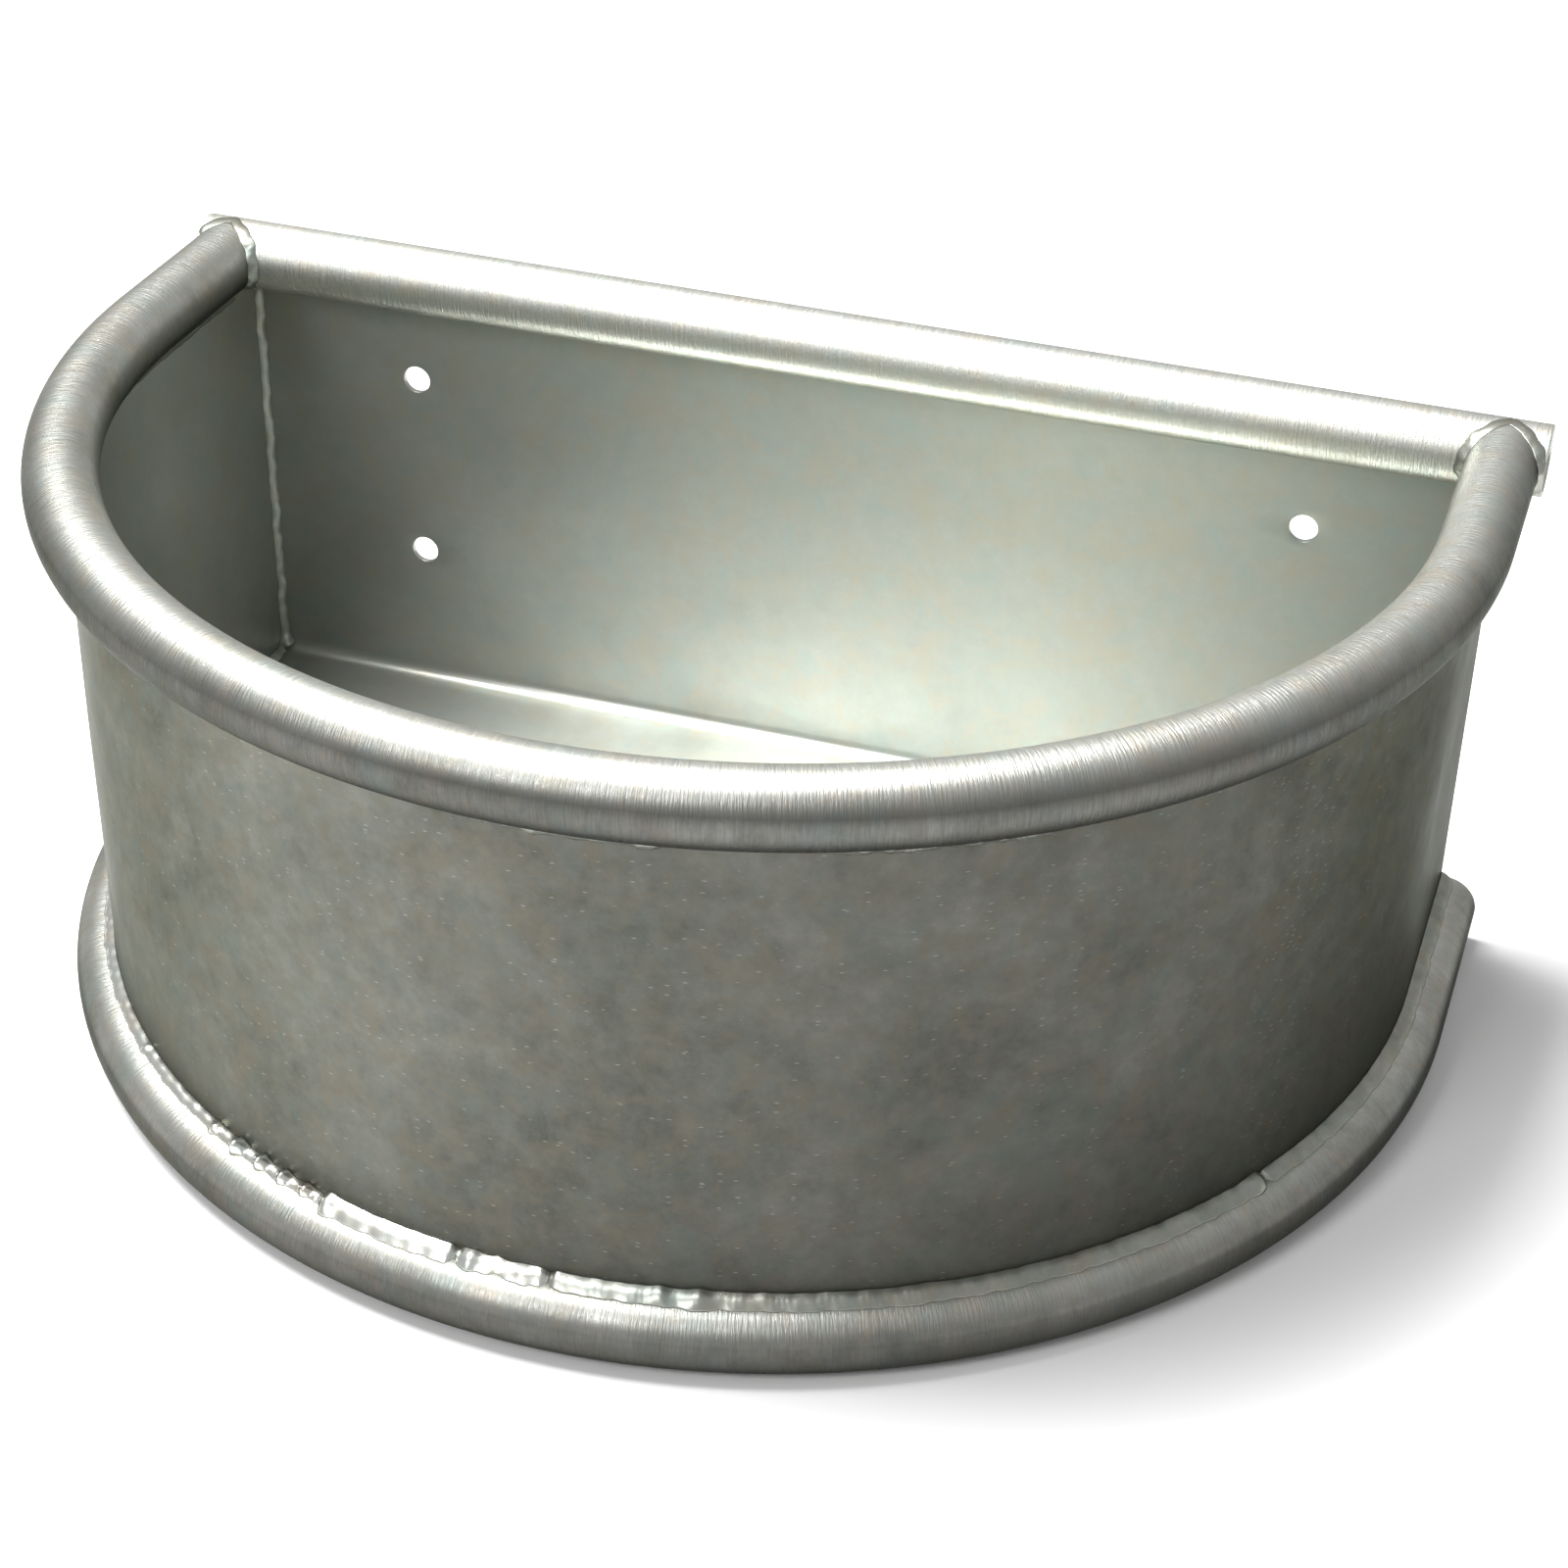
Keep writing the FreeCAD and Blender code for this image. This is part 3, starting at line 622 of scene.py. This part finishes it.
seam_leg = 0.004
floor_seam = (
    np.array([-gauge, floor_top]),
    lambda size: np.stack([np.full_like(size, -gauge), floor_top + seam_leg * size], axis=-1),
    lambda size: np.stack([-gauge - seam_leg * size, np.full_like(size, floor_top)], axis=-1),
)
seam_start = back_y - fold_y - 0.005
bead = add_wall_bead("floor_seam_bead", seam_start, path_length - seam_start, floor_seam, 100,
                     crown=0.0007, ripple=0.00008, pitch=0.0029, ragged=0.2)
# The floor's bead takes the pale inner zinc, painted light.
finish_piece(bead, inner_zinc, "weld", "floor_to_wall_weld")

# --- The welds on the back panel -----------------------------------------------------------------
# A bead fills the groove under the rail, and an upright bead joins the panel to the wall in each
# back corner. Both of these are narrow, with a blob of zinc at the foot and a lump at the top.

groove_drop, groove_reach = 0.007, 0.0055
rail_groove = (
    np.array([panel_face, sheet_high.z]),
    lambda size: np.stack([np.full_like(size, panel_face), sheet_high.z - groove_drop * size], axis=-1),
    lambda size: np.stack([
        panel_face - groove_reach * size,
        rail_z - np.sqrt(tube_radius ** 2 - (panel_face - groove_reach * size - rail_y) ** 2),
    ], axis=-1),
)
along = np.linspace(-half_inside, half_inside, 1000)
sections = bead_sections(along, *rail_groove, 110, crown=0.0005, ripple=0.00015, pitch=0.0033, ragged=0.18)
bead_x = np.broadcast_to(along[:, None], sections.shape[:2])
bead = add_sweep("rail_bead", np.stack([bead_x, sections[..., 0], sections[..., 1]], axis=-1))
# The rail's bead takes the pale inner zinc, painted light.
finish_piece(bead, inner_zinc, "weld", "rail_to_panel_weld")

corner_top = sheet_high.z - groove_drop
corner_leg, corner_foot = 0.0036, 0.007
corner = (
    np.array([half_inside, panel_face]),
    lambda size: np.stack([half_inside - corner_leg * size, np.full_like(size, panel_face)], axis=-1),
    lambda size: np.stack([np.full_like(size, half_inside), panel_face - corner_leg * size], axis=-1),
)
for side, side_name in ((-1, "left"), (1, "right")):
    along = np.linspace(fold_z - corner_foot, corner_top, 380)
    lumps = ((fold_z - 0.004, 0.0030, 0.0024), (corner_top - 0.005, 0.004, 0.0018))
    sections = bead_sections(along, *corner, 120 + side, crown=0.0006, ripple=0.00003, pitch=0.0030,
                             ragged=0.2, lumps=lumps)
    below_fold = np.clip(fold_z - along, 0, None)[:, None]
    sections[..., 1] -= fold_radius - np.sqrt(fold_radius ** 2 - below_fold ** 2)
    bead_z = np.broadcast_to(along[:, None], sections.shape[:2])
    bead = add_sweep(f"corner_bead_{side_name}",
                     np.stack([side * sections[..., 0], sections[..., 1], bead_z], axis=-1))
    # The corner beads take the pale inner zinc, painted light.
    finish_piece(bead, inner_zinc, "weld", f"back_corner_weld_{side_name}")

# --- The welds between the rim and the rail ------------------------------------------------------
# A saddle-shaped bead round each coped end. It starts and stops at the wall's edge under the leg,
# and on the left it stops where the rail ends.

saddle_on_leg, saddle_on_rail, saddle_crown, saddle_depth = 0.0036, 0.0042, 0.0005, 0.0008


def saddle_sections(turn, hand, seed):
    """Cross-sections of the saddle bead at angles round the leg, 11 points on its skin and a root.

    The joint is the curve x = side + r cos t, z = rail z + r sin t, y = rail y - r |cos t|. One
    toe lies nearer the animal on the leg, the other further out on the rail, and the skin is the
    chord between them, raised along the mean of the two tubes' normals.
    """
    along = turn * tube_radius
    ripple = 0.00003 * np.cos(2 * np.pi * (along / 0.0032 + wobble(along, seed, (0.017, 0.041), 0.7)))
    ends = np.minimum(turn - turn[0], turn[-1] - turn) * tube_radius
    taper = np.sqrt(np.clip(1 - (1 - np.clip(ends, 0, 0.004) / 0.004) ** 2, 0.03, 1))
    leg_toe = saddle_on_leg * taper * (1 + wobble(along, seed + 1, (0.0082, 0.017, 0.031), 0.25))
    rail_toe = saddle_on_rail * taper * (1 + wobble(along, seed + 2, (0.0077, 0.015, 0.027), 0.25))
    cosine, sine = np.cos(turn), np.sin(turn)
    joint_y = rail_y - tube_radius * np.sqrt(cosine ** 2 + 0.002)
    lean = np.arcsin(np.clip(sine, -1, 1)) + rail_toe * sine / tube_radius
    first = np.stack([tube_radius * cosine, joint_y - leg_toe, rail_z + tube_radius * sine], axis=-1)
    second = np.stack([(tube_radius + rail_toe) * cosine, rail_y - tube_radius * np.cos(lean),
                       rail_z + tube_radius * np.sin(lean)], axis=-1)
    leg_normal = np.stack([cosine, 0 * sine, sine], axis=-1)
    rail_normal = np.stack([0 * sine, -np.cos(lean), np.sin(lean)], axis=-1)
    outward = leg_normal + rail_normal
    outward /= np.linalg.norm(outward, axis=1, keepdims=True)
    joint = np.stack([tube_radius * cosine, joint_y, rail_z + tube_radius * sine], axis=-1)
    u = np.linspace(0, 1, 11)[None, :, None]
    height = (taper * (saddle_crown + ripple))[:, None, None]
    skin = first[:, None] * (1 - u) + second[:, None] * u + outward[:, None] * np.sin(np.pi * u) * height
    points = np.concatenate([skin, (joint - saddle_depth * outward)[:, None]], axis=1)
    points[..., 0] = hand * (bend_radius + points[..., 0])
    return points


for hand, side_name, start, end in ((-1, "left", 43.0, 256.0), (1, "right", -84.0, 256.0)):
    turn = np.radians(np.linspace(start, end, 240))
    points = saddle_sections(turn, hand, 130 + hand)
    points[..., 0] = np.clip(points[..., 0], rail_low.x, rail_high.x)
    bead = add_sweep(f"saddle_bead_{side_name}", points)
    finish_piece(bead, dull_weld_zinc, "weld", f"rim_to_rail_weld_{side_name}")

# --- The floor, the light and the camera ----------------------------------------------------------
# The trough stands on a plain pale floor under large soft lamps.

floor = add_mesh("studio_floor", np.array([[-9, -9, 0], [9, -9, 0], [9, 9, 0], [-9, 9, 0]], float),
                 np.array([[0, 1, 2, 3]]))
floor_paint = bpy.data.materials.new("floor_paint")
floor_paint.use_nodes = True
floor_paint.node_tree.nodes["Principled BSDF"].inputs["Base Color"].default_value = (0.93, 0.93, 0.93, 1.0)
floor_paint.node_tree.nodes["Principled BSDF"].inputs["Roughness"].default_value = 0.9
floor.data.materials.append(floor_paint)

world = bpy.data.worlds.new("studio")
world.use_nodes = True
world.node_tree.nodes["Background"].inputs["Color"].default_value = (1.0, 1.0, 1.0, 1.0)
world.node_tree.nodes["Background"].inputs["Strength"].default_value = 0.5
bpy.context.scene.world = world
bpy.context.scene.view_settings.view_transform = "Standard"


def add_lamp(name, place, target, size, power):
    """A square area lamp that faces a point."""
    lamp = bpy.data.lights.new(name, "AREA")
    lamp.size = size
    lamp.energy = power
    holder = bpy.data.objects.new(name, lamp)
    holder.location = place
    holder.rotation_euler = (Vector(target) - Vector(place)).to_track_quat("-Z", "Y").to_euler()
    bpy.context.scene.collection.objects.link(holder)


add_lamp("overhead", (-0.9, 0.1, 2.8), (0, 0, 0.15), 1.6, 190.0)
add_lamp("front", (-1.0, -2.5, 2.3), (0, 0, 0.15), 1.0, 40.0)

# The camera stands in front and to the right of the trough and looks down into it.
camera_data = bpy.data.cameras.new("camera")
camera = bpy.data.objects.new("camera", camera_data)
bpy.context.scene.collection.objects.link(camera)
bpy.context.scene.camera = camera
turn, tilt, roll = [math.radians(angle) for angle in (16.026, 33.809, 2.189)]
away = Vector((math.sin(turn) * math.cos(tilt), -math.cos(turn) * math.cos(tilt), math.sin(tilt)))
target = Vector((0.0782, rail_y - 0.2, rail_z - 0.1577))
camera.location = target + 1.445 * away
sideways = (-away).cross(Vector((0, 0, 1))).normalized()
upward = sideways.cross(-away)
rolled_sideways = math.cos(roll) * sideways + math.sin(roll) * upward
rolled_upward = math.cos(roll) * upward - math.sin(roll) * sideways
camera.rotation_mode = "QUATERNION"
camera.rotation_quaternion = Matrix((rolled_sideways, rolled_upward, away)).transposed().to_quaternion()
camera_data.sensor_width = 36.0
camera_data.lens = 73.25
camera_data.shift_x, camera_data.shift_y = -0.0497, 0.0538
camera_data.clip_start, camera_data.clip_end = 0.05, 50.0
